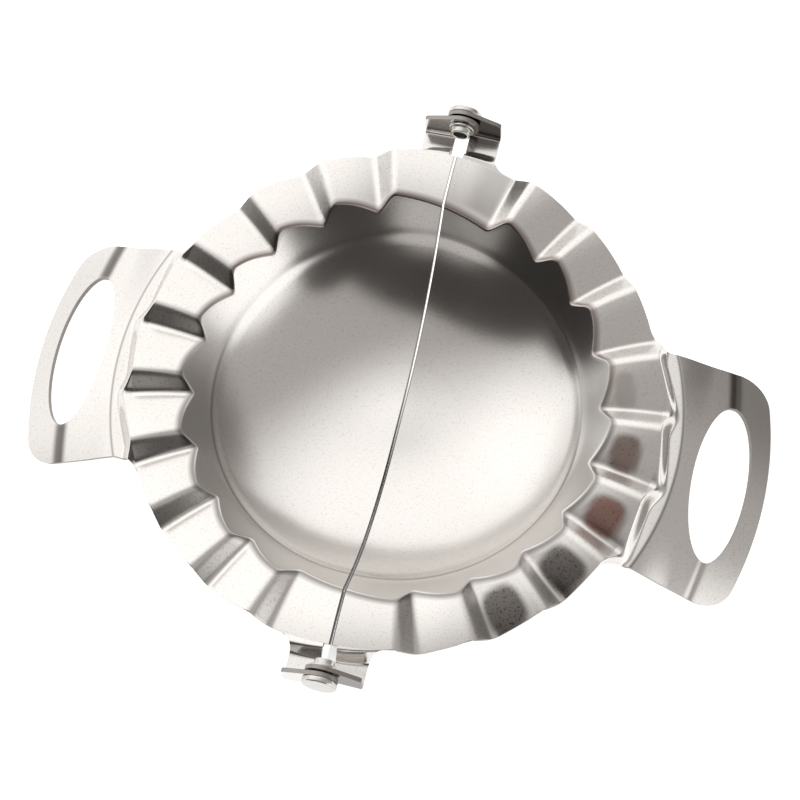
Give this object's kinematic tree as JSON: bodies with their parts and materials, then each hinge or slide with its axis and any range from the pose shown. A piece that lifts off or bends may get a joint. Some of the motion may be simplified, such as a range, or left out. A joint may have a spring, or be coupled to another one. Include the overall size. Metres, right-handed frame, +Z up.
{
  "type": "empanada press",
  "caption": "Hinged press of pleated sheet steel: a round bowl in two halves with a sawtooth rim, folding along its middle, with a handle on each side.",
  "frame": {"origin": "middle of the bowl's flat underside, where it rests, straight below the hinge line", "axes": "+Z up, +X from the hinge line towards the right half's handle, +Y along the hinge line towards the back hinge"},
  "size_m": [0.1362, 0.1128, 0.0224],
  "materials": {
    "pressed_steel": "polished",
    "rivet_steel": "satin"
  },
  "bodies": {
    "right": {"right_half": "pressed_steel", "back_rivet": "rivet_steel", "front_rivet": "rivet_steel"},
    "left": {"left_half": "pressed_steel"}
  },
  "joints": [
    {"name": "fold", "type": "hinge", "parent": "right", "child": "left", "pos_m": [0, 0, 0.01925], "axis": [0, 1, 0], "range_deg": [0, 189]}
  ]
}
